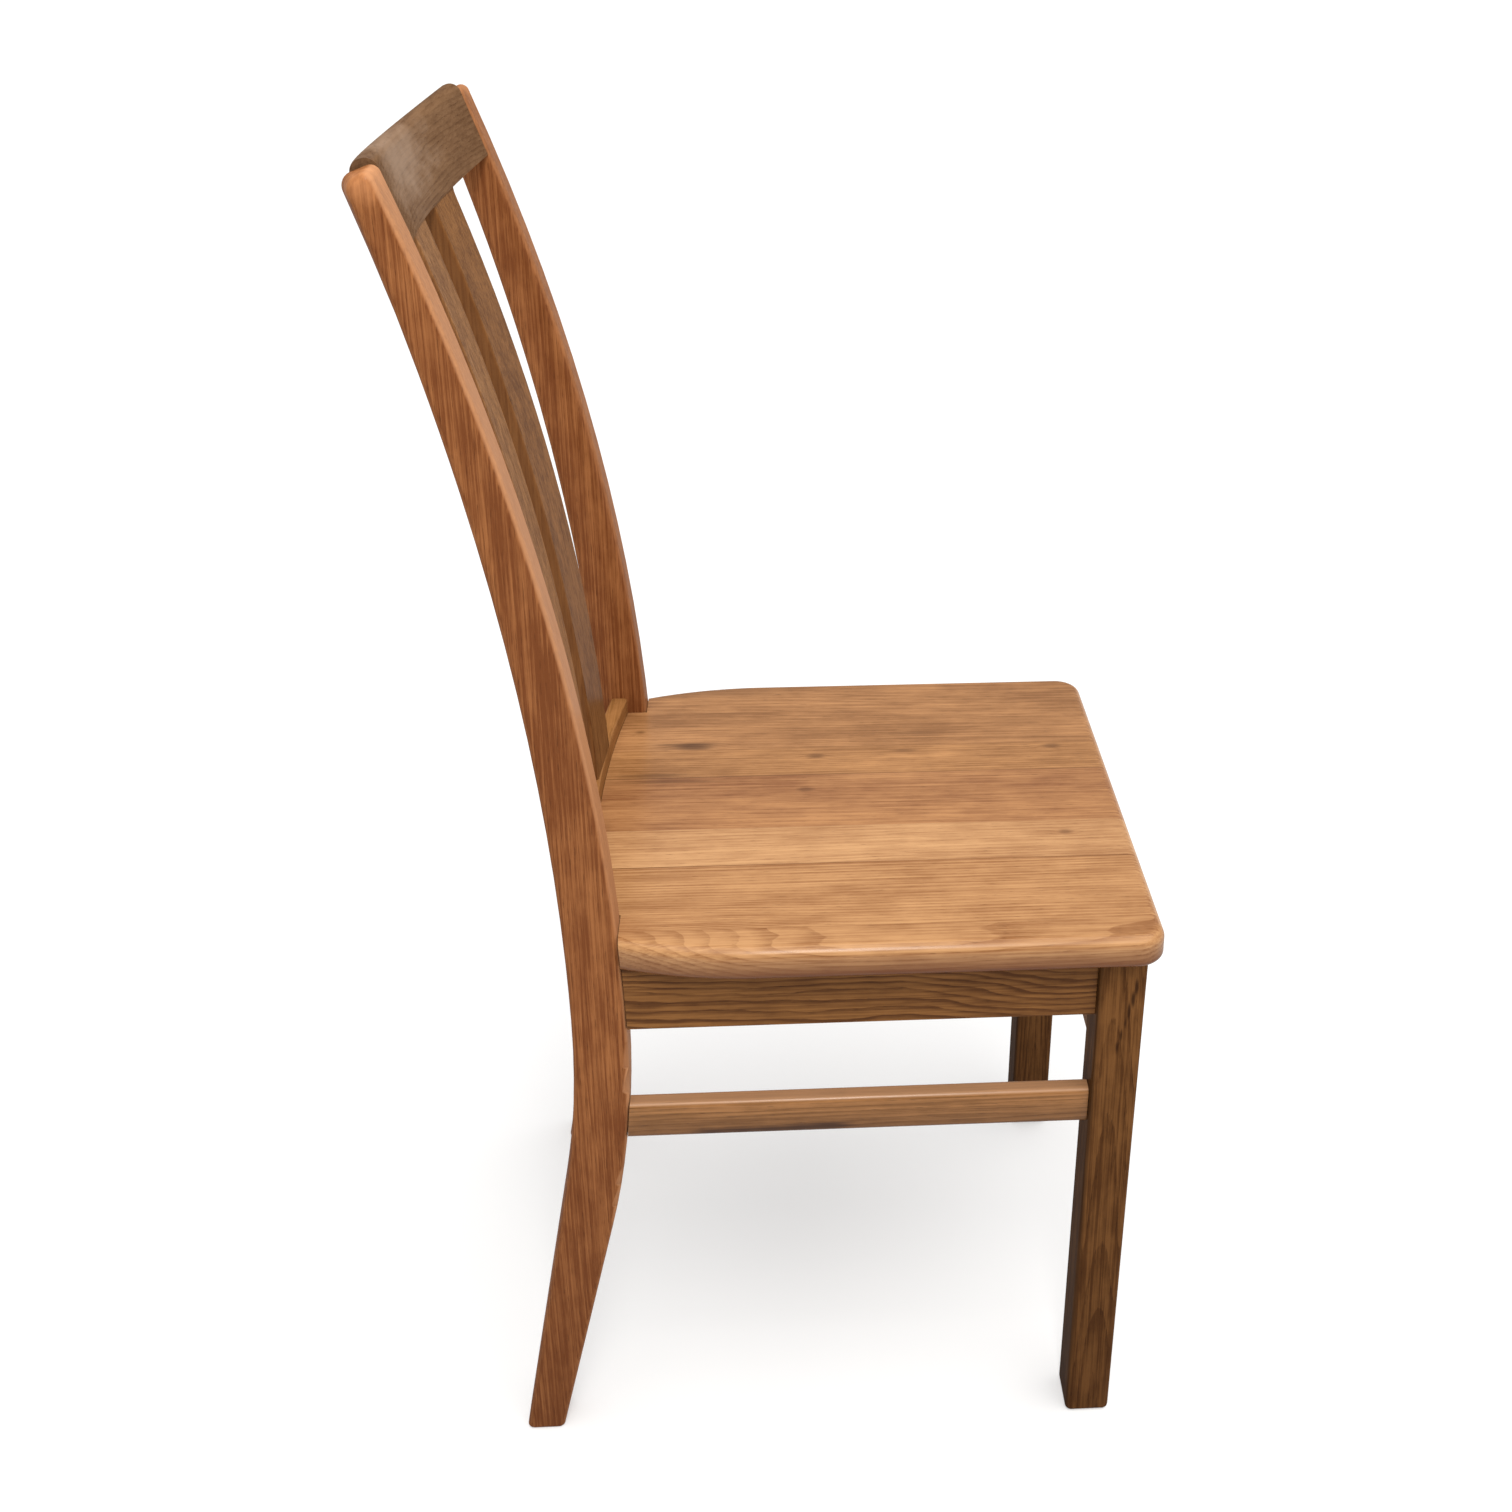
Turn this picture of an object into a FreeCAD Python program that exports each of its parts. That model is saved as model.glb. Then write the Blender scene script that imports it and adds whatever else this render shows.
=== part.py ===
import FreeCAD, Part
import Sketcher
import math
import os

# A slatted-back dining chair of solid oak. Millimetres, +Z up, the sitter faces -Y, and the
# origin is on the floor under the middle of the chair. Depths in the sheet are measured from
# the front edge of the seat, and each piece's Placement moves it forward by half_depth.

XY, XZ, YZ = "XY_Plane", "XZ_Plane", "YZ_Plane"

SIZES = {
    "half_depth": 269.0,
    # seat
    "seat_height": 460.0, "seat_thickness": 24.5, "seat_half_width": 227.0,
    "seat_corner_radius": 22.0, "seat_side_straight": 290.0, "seat_side_radius": 286.0,
    "seat_side_end": 394.0, "seat_top_round": 9.0, "seat_under_round": 5.0,
    # glue lines of the seat, from the sitter's right to the left
    "seat_joint_1": -196.0, "seat_joint_2": -104.0, "seat_joint_3": -46.0,
    "seat_joint_4": 44.0, "seat_joint_5": 94.0,
    # rear posts: leg and back upright in one sawn piece. The rear face is slanted, so its curve
    # on the outer face differs from its curve on the inner face
    "post_outer": 204.5, "post_width": 32.0, "post_height": 988.0, "post_end_drop": 9.0,
    "front_waist_depth": 387.8, "front_waist_height": 371.0, "front_rake_radius": 1712.0,
    "front_knee_radius": 690.0, "front_splay": 14.2,
    "rear_waist_height": 389.0, "rear_knee_radius": 796.0,
    "outer_waist_depth": 427.5, "outer_rake_radius": 1970.0, "outer_splay": 11.3,
    "inner_waist_depth": 429.3, "inner_rake_radius": 1800.0, "inner_splay": 10.9,
    "post_edge_round": 5.0, "post_top_front_round": 6.0, "post_top_back_round": 9.0,
    "post_foot_round": 3.0, "post_foot_trim": 5.0,
    # front legs
    "leg_outer": 211.5, "leg_width": 42.0, "leg_front": 10.2, "leg_depth": 35.1,
    "leg_lean": 8.1, "leg_edge_round": 5.0, "leg_foot_round": 4.0,
    # seat frame
    "rail_thickness": 20.0, "side_rail_width": 54.0, "front_rail_width": 98.0,
    "front_rail_rear": 44.0, "rear_rail_front": 402.0, "rail_edge_round": 2.0,
    "side_rail_centre": 193.5, "joint_gap": 0.3,
    # side stretchers
    "stretcher_top": 315.5, "stretcher_width": 30.3, "stretcher_thickness": 16.0,
    "stretcher_round": 4.5, "stretcher_centre": 196.0,
    # lower back rail
    "lower_rail_front": 406.5, "lower_rail_bow": 11.0, "lower_rail_thickness": 14.0,
    "lower_rail_bottom": 437.0, "lower_rail_top": 474.0, "lower_rail_round": 2.5,
    # crest rail, in a frame tilted back with the posts
    "crest_tilt": 19.5, "crest_low_height": 937.0, "crest_setback": 2.0,
    "crest_width": 58.0, "crest_thickness": 18.0, "crest_bow": 20.7, "crest_low_dip": 4.0,
    "crest_top_dip": 5.0, "crest_edge_round": 8.0,
    # back slats
    "slat_centre": 47.7, "slat_width": 64.6, "slat_thickness": 11.0, "slat_radius": 1580.0,
    "slat_turn": 3.8, "slat_setback": 0.5, "slat_edge_round": 2.0, "slat_flare": 7.0,
    "slat_scribe": 1.5,
    "tenon_width": 50.0, "tenon_thickness": 5.0, "tenon_length": 10.0, "tenon_gap": 0.1,
    # corner blocks under the seat
    "block_reach": 70.0, "block_width": 30.0, "block_toe": 8.0, "block_gap": 0.3,
    "block_wing": 0.7,
    # dowels and screws
    "dowel_radius": 4.0, "dowel_length": 36.0, "dowel_gap": 0.1, "dowel_spacing": 26.0,
    "small_dowel_radius": 3.0, "small_dowel_length": 24.0, "bore_length": 30.0,
    "screw_radius": 2.0, "screw_head_radius": 4.0, "screw_head_height": 2.5,
    "block_screw_length": 32.0, "seat_screw_length": 42.0,
    # where the fixings sit, as shares of the crest's width and of the corner blocks' reach
    "crest_dowel_low": 0.28, "crest_dowel_high": 0.72, "screw_level": 0.55,
    "rail_screw_across": 0.42, "rail_screw_along": 0.28, "side_screw_across": 0.08,
    "side_screw_along": 0.62, "seat_screw_across": 0.14, "seat_screw_along": 0.24,
}

# How close, in millimetres, a corner must be to a level to count as lying on it.
NEAR = 0.1

doc = FreeCAD.newDocument("DiningChair")
nodes = []


class Dimension:
    """A dimension as a number, together with the sheet expression that drives it."""

    def __init__(self, number, text):
        self.number = float(number)
        self.text = text

    def __add__(self, other):
        other = as_size(other)
        return Dimension(self.number + other.number, f"({self.text} + {other.text})")

    def __radd__(self, other):
        return as_size(other) + self

    def __sub__(self, other):
        other = as_size(other)
        return Dimension(self.number - other.number, f"({self.text} - {other.text})")

    def __rsub__(self, other):
        return as_size(other) - self

    def __mul__(self, other):
        other = as_size(other)
        return Dimension(self.number * other.number, f"({self.text} * {other.text})")

    def __rmul__(self, other):
        return as_size(other) * self

    def __truediv__(self, other):
        other = as_size(other)
        return Dimension(self.number / other.number, f"({self.text} / {other.text})")

    def __neg__(self):
        return -1.0 * self


def as_size(value):
    return value if isinstance(value, Dimension) else Dimension(value, f"{value:.6f}")


def sine(angle):
    return Dimension(math.sin(math.radians(angle.number)), f"sin({angle.text} * 1deg)")


def cosine(angle):
    return Dimension(math.cos(math.radians(angle.number)), f"cos({angle.text} * 1deg)")


def root(square):
    return Dimension(math.sqrt(square.number), f"sqrt({square.text})")


def turn_of(rise, run):
    """The angle, in degrees, of a line that rises by rise over run."""
    number = math.degrees(math.atan2(rise.number, run.number))
    return Dimension(number, f"(atan({rise.text} / {run.text}) / 1deg)")


def make_sheet():
    sheet = doc.addObject("Spreadsheet::Sheet", "Sizes")
    for row, (alias, number) in enumerate(SIZES.items(), start=1):
        sheet.set(f"A{row}", alias)
        sheet.set(f"B{row}", str(number))
        sheet.setAlias(f"B{row}", alias)
    doc.recompute()
    return {alias: Dimension(number, f"Sizes.{alias}") for alias, number in SIZES.items()}


size = make_sheet()


# ---- drawing and feature helpers

def new_body(label):
    body = doc.addObject("PartDesign::Body", label)
    body.Label = label
    return body


def origin_plane(body, role):
    return next(f for f in body.Origin.OriginFeatures if f.Role == role)


def arc_middle(start, end, radius):
    """Middle point of the arc from start to end; a positive radius turns anticlockwise."""
    along = end - start
    centre_side = FreeCAD.Vector(-along.y, along.x, 0).normalize() * math.copysign(1, radius)
    half = along.Length / 2
    height = abs(radius) - math.sqrt(radius * radius - half * half)
    return (start + end) * 0.5 - centre_side * height


def draw_outline(body, role, corners, radii=None, offset=None, rise=None, tilt=None):
    """A closed outline through corners, each a pair of dimensions. radii maps an edge's number to the
    radius of its arc, positive where it turns anticlockwise from its first corner. offset moves the
    outline along the plane's normal, rise moves it up, and tilt turns it about its own x axis."""
    radii = radii or {}
    sketch = body.newObject("Sketcher::SketchObject", f"{body.Name}_outline")
    sketch.AttachmentSupport = [(origin_plane(body, role), "")]
    sketch.MapMode = "FlatFace"
    if tilt is not None:
        turned = FreeCAD.Rotation(FreeCAD.Vector(1, 0, 0), tilt.number)
        sketch.AttachmentOffset = FreeCAD.Placement(FreeCAD.Vector(), turned)
        sketch.setExpression("AttachmentOffset.Rotation.Angle", tilt.text)
    if offset is not None:
        sketch.setExpression("AttachmentOffset.Base.z", offset.text)
    if rise is not None:
        sketch.setExpression("AttachmentOffset.Base.y", rise.text)
    points = [FreeCAD.Vector(x.number, y.number, 0) for x, y in corners]
    ends = []
    for edge, start in enumerate(points):
        end = points[(edge + 1) % len(points)]
        radius = radii.get(edge)
        if radius is None:
            sketch.addGeometry(Part.LineSegment(start, end), False)
            ends.append((1, 2))
        else:
            middle = arc_middle(start, end, radius.number)
            sketch.addGeometry(Part.Arc(start, middle, end), False)
            ends.append((1, 2) if radius.number > 0 else (2, 1))
    for edge, (first, last) in enumerate(ends):
        following = (edge + 1) % len(points)
        sketch.addConstraint(
            Sketcher.Constraint("Coincident", edge, last, following, ends[following][0]))
    for edge, (x, y) in enumerate(corners):
        for kind, reach in (("DistanceX", x), ("DistanceY", y)):
            row = sketch.addConstraint(
                Sketcher.Constraint(kind, -1, 1, edge, ends[edge][0], reach.number))
            sketch.setExpression(f"Constraints[{row}]", reach.text)
    for edge, radius in radii.items():
        row = sketch.addConstraint(Sketcher.Constraint("Radius", edge, abs(radius.number)))
        text = radius.text if radius.number > 0 else (-radius).text
        sketch.setExpression(f"Constraints[{row}]", text)
    return sketch


def pad(body, sketch, length):
    feature = body.newObject("PartDesign::Pad", f"{body.Name}_pad")
    feature.Profile = sketch
    feature.setExpression("Length", length.text)
    sketch.Visibility = False
    doc.recompute()
    return feature


def pocket_through(body, sketch):
    """Cut an outline right through the body, both ways from its plane."""
    before = body.Tip.Shape.Volume
    feature = body.newObject("PartDesign::Pocket", f"{body.Name}_cut")
    feature.Profile = sketch
    feature.Type = "ThroughAll"
    feature.SideType = "Symmetric"
    sketch.Visibility = False
    doc.recompute()
    if not 0 < feature.Shape.Volume < before:
        raise RuntimeError(f"{body.Label}: the cut took nothing or everything")
    return feature


def round_edges(body, radius, wanted):
    """Round those edges of the body's tip that wanted(edge) accepts."""
    base = body.Tip
    names = [f"Edge{i}" for i, edge in enumerate(base.Shape.Edges, start=1) if wanted(edge)]
    if not names:
        raise RuntimeError(f"{body.Label}: no edge to round")
    feature = body.newObject("PartDesign::Fillet", f"{body.Name}_round")
    feature.Base = (base, names)
    feature.setExpression("Radius", radius.text)
    doc.recompute()
    return feature


def runs_along(edge, axis, share=0.8):
    """True where an edge's ends lie mostly along one axis (0, 1 or 2)."""
    if len(edge.Vertexes) < 2:
        return False
    span = edge.Vertexes[1].Point - edge.Vertexes[0].Point
    return span.Length > 1e-6 and abs(span[axis]) > share * span.Length


def all_ends(edge, test):
    return all(test(vertex.Point) for vertex in edge.Vertexes)


def place(piece, x=None, y=None, z=None, turn=None, axis=(0, 0, 1)):
    """Bind a piece's Placement. y is a depth from the seat's front edge."""
    if turn is not None:
        piece.Placement = FreeCAD.Placement(
            FreeCAD.Vector(), FreeCAD.Rotation(FreeCAD.Vector(*axis), turn.number))
        piece.setExpression("Placement.Rotation.Angle", turn.text)
    depth = -size["half_depth"] if y is None else y - size["half_depth"]
    piece.setExpression("Placement.Base.y", depth.text)
    if x is not None:
        piece.setExpression("Placement.Base.x", x.text)
    if z is not None:
        piece.setExpression("Placement.Base.z", z.text)


def cylinder(name, radius, length, x, y, z, axis):
    """A cylinder that starts at x, y, z and runs along axis, in the chair's frame."""
    piece = doc.addObject("Part::Cylinder", name)
    piece.setExpression("Radius", radius.text)
    piece.setExpression("Height", length.text)
    turned = FreeCAD.Rotation(FreeCAD.Vector(0, 0, 1), FreeCAD.Vector(*axis))
    piece.Placement = FreeCAD.Placement(FreeCAD.Vector(), turned)
    place(piece, x, y, z)
    return piece


def group(label, pieces):
    compound = doc.addObject("Part::Compound", label)
    compound.Label = label
    compound.Links = pieces
    doc.recompute()
    return compound


def cut(label, base, tool):
    result = doc.addObject("Part::Cut", label)
    base.Label = f"{label}_blank"
    result.Label = label
    result.Base = base
    result.Tool = tool
    doc.recompute()
    return result


def finish(piece):
    nodes.append(piece)
    return piece


# ---- shared curves

def post_front(height):
    """Depth of the posts' front edge at a height near or above the knee."""
    upper = height.number > SIZES["front_waist_height"]
    radius = size["front_rake_radius"] if upper else size["front_knee_radius"]
    rise = height - size["front_waist_height"]
    return size["front_waist_depth"] + radius - root(radius * radius - rise * rise)


def post_rear(face, height):
    """Depth of the posts' rear edge on their outer or inner face, above the waist."""
    radius = size[f"{face}_rake_radius"]
    rise = height - size["rear_waist_height"]
    return size[f"{face}_waist_depth"] + radius - root(radius * radius - rise * rise)


def leg_line(waist_depth, waist_height, knee, splay):
    """Corners of a post's edge below the waist: a little under the floor, at the knee and at the
    waist. The part under the floor is sawn off later."""
    knee_height = waist_height - knee * sine(splay)
    knee_depth = waist_depth + knee * (1.0 - cosine(splay))
    foot_height = -size["post_foot_trim"]
    foot_depth = knee_depth + (knee_height - foot_height) * sine(splay) / cosine(splay)
    return [(foot_depth, foot_height), (knee_depth, knee_height), (waist_depth, waist_height)]


def leg_rear(height):
    """Depth of the front legs' rear face: they lean back towards the floor."""
    drop = frame_top - height
    return size["leg_front"] + size["leg_depth"] + size["leg_lean"] * drop / frame_top


def arc_through(half_span, bow):
    """Radius of an arc with this half chord and bow."""
    return (half_span * half_span + bow * bow) / (2.0 * bow)


frame_top = size["seat_height"] - size["seat_thickness"]
post_inner = size["post_outer"] - size["post_width"]
ZERO = Dimension(0, "0")


# ---- pieces

def post_outline(body, face, offset):
    """Side view of a post at its outer or inner face: a straight splayed foot, a knee arc and a
    long raked arc, with the top end cut square to the rake."""
    front = leg_line(size["front_waist_depth"], size["front_waist_height"],
                     size["front_knee_radius"], size["front_splay"])
    rear = leg_line(size[f"{face}_waist_depth"], size["rear_waist_height"],
                    size["rear_knee_radius"], size[f"{face}_splay"])
    end_height = size["post_height"] - size["post_end_drop"]
    top = [(post_front(size["post_height"]), size["post_height"]),
           (post_rear(face, end_height), end_height)]
    radii = {1: -size["front_knee_radius"], 2: -size["front_rake_radius"],
             4: size[f"{face}_rake_radius"], 5: size["rear_knee_radius"]}
    return draw_outline(body, YZ, front + top + rear[::-1], radii, offset)


def make_post(label, side):
    """Rear leg and back upright in one: a ruled solid from its outer face to its inner face."""
    body = new_body(label)
    near, far = ("outer", "inner") if side < 0 else ("inner", "outer")
    faces = [post_outline(body, far, size["post_width"]), post_outline(body, near, ZERO)]
    loft = body.newObject("PartDesign::AdditiveLoft", f"{body.Name}_loft")
    loft.Profile = faces[0]
    loft.Sections = [faces[1]]
    loft.Ruled = True
    for sketch in faces:
        sketch.Visibility = False
    doc.recompute()
    # saw the foot off level with the floor
    near_edge, far_edge = size["front_waist_depth"], 2.0 * size["front_waist_depth"]
    under = -2.0 * size["post_foot_trim"]
    trim = [(near_edge, under), (far_edge, under), (far_edge, ZERO), (near_edge, ZERO)]
    pocket_through(body, draw_outline(body, YZ, trim))
    front_top = SIZES["post_height"]
    back_top = front_top - SIZES["post_end_drop"]
    for name, level in (("post_top_front_round", front_top), ("post_top_back_round", back_top)):
        round_edges(body, size[name], lambda e: runs_along(e, 0)
                    and all_ends(e, lambda p: abs(p.z - level) < NEAR))
    round_edges(body, size["post_edge_round"], lambda e: not runs_along(e, 0)
                and not all_ends(e, lambda p: p.z < NEAR))
    round_edges(body, size["post_foot_round"], lambda e: all_ends(e, lambda p: p.z < NEAR))
    place(body, x=size["post_outer"] * side - (size["post_width"] if side > 0 else 0.0))
    return body


def make_front_leg(label, side):
    body = new_body(label)
    lean = size["leg_lean"]
    corners = [(size["leg_front"] + lean, ZERO), (size["leg_front"] + size["leg_depth"] + lean, ZERO),
               (size["leg_front"] + size["leg_depth"], frame_top), (size["leg_front"], frame_top)]
    sketch = draw_outline(body, YZ, corners)
    pad(body, sketch, size["leg_width"])
    round_edges(body, size["leg_edge_round"], lambda e: runs_along(e, 2))
    round_edges(body, size["leg_foot_round"], lambda e: all_ends(e, lambda p: p.z < NEAR))
    place(body, x=size["leg_outer"] * side - (size["leg_width"] if side > 0 else 0.0))
    return body


def make_side_bar(label, side, low, high, thickness, centre, rounding):
    """A bar from a front leg to a post, with ends cut to meet both."""
    body = new_body(label)
    gap = size["joint_gap"]
    corners = [(leg_rear(low) + gap, low), (post_front(low) - gap, low),
               (post_front(high) - gap, high), (leg_rear(high) + gap, high)]
    sketch = draw_outline(body, YZ, corners)
    pad(body, sketch, thickness)
    round_edges(body, rounding, lambda e: runs_along(e, 1))
    place(body, x=centre * side - thickness * 0.5)
    return body


def make_front_rail():
    body = new_body("front_rail")
    half = size["leg_outer"] - size["leg_width"]
    low = frame_top - size["front_rail_width"]
    corners = [(-half, low), (half, low), (half, frame_top), (-half, frame_top)]
    sketch = draw_outline(body, XZ, corners)
    pad(body, sketch, size["rail_thickness"])
    round_edges(body, size["rail_edge_round"], lambda e: runs_along(e, 0))
    place(body, y=size["front_rail_rear"])
    return body


def make_rear_rail():
    body = new_body("rear_rail")
    low = frame_top - size["side_rail_width"]
    corners = [(-post_inner, low), (post_inner, low), (post_inner, frame_top),
               (-post_inner, frame_top)]
    sketch = draw_outline(body, XZ, corners)
    pad(body, sketch, size["rail_thickness"])
    round_edges(body, size["rail_edge_round"], lambda e: runs_along(e, 0))
    place(body, y=size["rear_rail_front"] + size["rail_thickness"])
    return body


def bowed_plan(body, front, bow, thickness, offset=None):
    """Plan outline of a rail between the posts whose middle bows backwards."""
    corners = [(-post_inner, front), (-post_inner, front + thickness),
               (post_inner, front + thickness), (post_inner, front)]
    radius = arc_through(post_inner, bow)
    radii = {1: -radius, 3: radius}
    return draw_outline(body, XY, corners, radii, offset)


def make_lower_back_rail():
    body = new_body("lower_back_rail")
    sketch = bowed_plan(body, size["lower_rail_front"], size["lower_rail_bow"],
                        size["lower_rail_thickness"], offset=size["lower_rail_bottom"])
    pad(body, sketch, size["lower_rail_top"] - size["lower_rail_bottom"])
    top = SIZES["lower_rail_top"] - NEAR
    round_edges(body, size["lower_rail_round"], lambda e: runs_along(e, 0)
                and all_ends(e, lambda p: p.z > top))
    place(body)
    return body


def crest_frame_origin():
    depth = post_front(size["crest_low_height"]) + size["crest_setback"]
    return depth, size["crest_low_height"]


def make_crest():
    """The crest bows backwards in plan, and both long edges dip a little towards the middle."""
    body = new_body("crest_body")
    width, low_dip, top_dip = size["crest_width"], size["crest_low_dip"], size["crest_top_dip"]
    sketch = bowed_plan(body, ZERO, size["crest_bow"], size["crest_thickness"], offset=-low_dip)
    pad(body, sketch, width + low_dip)
    past = post_inner + low_dip
    below = [(-post_inner, ZERO), (-past, ZERO), (-past, -2.0 * low_dip),
             (past, -2.0 * low_dip), (past, ZERO), (post_inner, ZERO)]
    pocket_through(body, draw_outline(body, XZ, below, {5: -arc_through(post_inner, low_dip)}))
    above = [(-post_inner, width), (post_inner, width), (past, width), (past, width + top_dip),
             (-past, width + top_dip), (-past, width)]
    pocket_through(body, draw_outline(body, XZ, above, {0: arc_through(post_inner, top_dip)}))
    lowest = SIZES["crest_width"] - SIZES["crest_top_dip"] - NEAR
    round_edges(body, size["crest_edge_round"], lambda e: runs_along(e, 0)
                and e.BoundBox.ZMin > lowest and e.BoundBox.ZMax > lowest + 2.0 * NEAR)
    depth, height = crest_frame_origin()
    place(body, y=depth, z=height, turn=-size["crest_tilt"], axis=(1, 0, 0))
    return body


def slat_foot():
    """Depth of a slat's front face where its centre line meets the lower back rail."""
    share = size["slat_centre"] / post_inner
    bow = size["lower_rail_bow"] * (1.0 - share * share)
    return size["lower_rail_front"] + bow + size["slat_setback"]


def slat_head():
    """A slat's front top corner: how far behind its foot, and how high. It is a little inside
    the crest, and is scribed to the crest's lower edge later."""
    share = size["slat_centre"] / post_inner
    reach = 1.0 - share * share
    depth, height = crest_frame_origin()
    back = size["crest_bow"] * reach + size["slat_setback"]
    down = size["crest_low_dip"] * reach - size["slat_scribe"]
    tilt = size["crest_tilt"]
    return (depth + back * cosine(tilt) - down * sine(tilt) - slat_foot(),
            height - back * sine(tilt) - down * cosine(tilt))


def place_like_slat(piece, side):
    place(piece, x=size["slat_centre"] * side, y=slat_foot(), turn=size["slat_turn"] * -side)


def make_slat(label, side):
    """A slat: bent in side view, flat across, and flared where it runs into the crest."""
    body = new_body(f"{label}_body")
    half, flare = size["slat_width"] * 0.5, size["slat_flare"]
    thick, tilt = size["slat_thickness"], size["crest_tilt"]
    foot = size["lower_rail_top"]
    head_depth, head = slat_head()
    corners = [(ZERO, foot), (thick, foot),
               (head_depth + thick * cosine(tilt), head - thick * sine(tilt)),
               (head_depth, head)]
    radii = {1: thick - size["slat_radius"], 3: size["slat_radius"]}
    sketch = draw_outline(body, YZ, corners, radii, offset=-half - flare)
    pad(body, sketch, 2.0 * (half + flare))
    for hand in (-1.0, 1.0):
        edge, tip, past = half * hand, (half + flare) * hand, (half + 2.0 * flare) * hand
        waste = [(edge, -size["post_height"]), (edge, -flare), (tip, ZERO), (past, ZERO),
                 (past, -size["post_height"])]
        sketch = draw_outline(body, XZ, waste, {1: flare * -hand}, offset=-head_depth,
                              rise=head, tilt=-tilt)
        pocket_through(body, sketch)
    round_edges(body, size["slat_edge_round"], lambda e: runs_along(e, 2)
                and e.Length > SIZES["seat_height"] * 0.5)

    slat = doc.addObject("Part::MultiFuse", f"{label}_tenoned")
    slat.Shapes = [body] + make_tenons(label, ZERO)
    place_like_slat(slat, side)
    doc.recompute()
    return slat


def make_tenons(name, grow):
    """The stub tenons at a slat's foot and head, in the slat's own frame; grown, mortises."""
    head_depth, head = slat_head()
    wide = size["tenon_width"] + 2.0 * grow
    deep = size["tenon_thickness"] + 2.0 * grow
    long = size["tenon_length"] + grow
    inset = (size["slat_thickness"] - size["tenon_thickness"]) * 0.5 - grow
    tilt = size["crest_tilt"]
    root_length = 2.0 * size["slat_scribe"]
    foot_corner = (-0.5 * wide, inset, size["lower_rail_top"] - long)
    head_corner = (-0.5 * wide, head_depth + inset * cosine(tilt) - root_length * sine(tilt),
                   head - inset * sine(tilt) - root_length * cosine(tilt))
    tenons = []
    for end, corner in (("foot", foot_corner), ("head", head_corner)):
        tenon = doc.addObject("Part::Box", f"{name}_{end}_tenon")
        if end == "head":
            turned = FreeCAD.Rotation(FreeCAD.Vector(1, 0, 0), -tilt.number)
            tenon.Placement = FreeCAD.Placement(FreeCAD.Vector(), turned)
            tenon.setExpression("Placement.Rotation.Angle", (-tilt).text)
        tall = long + root_length if end == "head" else long
        for key, reach in (("Length", wide), ("Width", deep), ("Height", tall)):
            tenon.setExpression(key, reach.text)
        for key, reach in zip("xyz", corner):
            tenon.setExpression(f"Placement.Base.{key}", reach.text)
        tenons.append(tenon)
    return tenons


def make_seat_blank():
    """The glued-up seat before it is split into boards: rounded edges and post notches."""
    body = new_body("seat_panel")
    half, corner = size["seat_half_width"], size["seat_corner_radius"]
    straight, curve, end = size["seat_side_straight"], size["seat_side_radius"], size["seat_side_end"]
    run = end - straight
    end_half = half - curve + root(curve * curve - run * run)
    gap = size["joint_gap"]
    rear = size["lower_rail_front"] - gap
    corners = [(-half + corner, ZERO), (half - corner, ZERO), (half, corner), (half, straight),
               (end_half, end), (post_inner - gap, rear), (-post_inner + gap, rear),
               (-end_half, end), (-half, straight), (-half, corner)]
    bow = arc_through(post_inner, size["lower_rail_bow"])
    radii = {1: corner, 3: curve, 5: bow, 7: curve, 9: corner}
    sketch = draw_outline(body, XY, corners, radii, offset=frame_top)
    pad(body, sketch, size["seat_thickness"])
    limit = SIZES["seat_side_end"] + NEAR
    rims = (("seat_top_round", SIZES["seat_height"]),
            ("seat_under_round", SIZES["seat_height"] - SIZES["seat_thickness"]))
    for name, level in rims:
        round_edges(body, size[name], lambda e: all_ends(
            e, lambda p: abs(p.z - level) < NEAR and p.y < limit))
    place(body)

    low, high = frame_top, size["seat_height"]
    lean = turn_of(post_front(high) - post_front(low), high - low)
    notches = []
    for side in (-1, 1):
        notch = doc.addObject("Part::Box", f"post_notch_{'right' if side < 0 else 'left'}")
        notch.setExpression("Length", (size["post_width"] * 2.0).text)
        notch.setExpression("Width", (size["post_width"] * 2.0).text)
        notch.setExpression("Height", (size["seat_thickness"] * 3.0).text)
        x = post_inner - gap if side > 0 else -post_inner + gap - size["post_width"] * 2.0
        place(notch, x=x, y=post_front(low) - gap - (high - low) * sine(lean), z=low - (high - low),
              turn=-lean, axis=(1, 0, 0))
        notches.append(notch)
    return cut("seat_notched", body, group("post_notches", notches))


def make_seat_boards(seat):
    """Split the seat along its glue lines into boards."""
    past = size["seat_half_width"] + size["seat_corner_radius"]
    joints = [size[name] for name in SIZES if name.startswith("seat_joint_")]
    edges = [-past] + joints + [past]
    boards = []
    for number, (low, high) in enumerate(zip(edges, edges[1:]), start=1):
        strip = doc.addObject("Part::Box", f"strip_{number}")
        strip.setExpression("Length", (high - low).text)
        strip.setExpression("Width", (size["half_depth"] * 2.0).text)
        strip.setExpression("Height", size["seat_height"].text)
        place(strip, x=low, y=ZERO, z=size["seat_thickness"])
        board = doc.addObject("Part::Common", f"seat_board_{number}")
        board.Label = f"seat_board_{number}"
        board.Base = seat
        board.Tool = strip
        boards.append(board)
    doc.recompute()
    return boards


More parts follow.
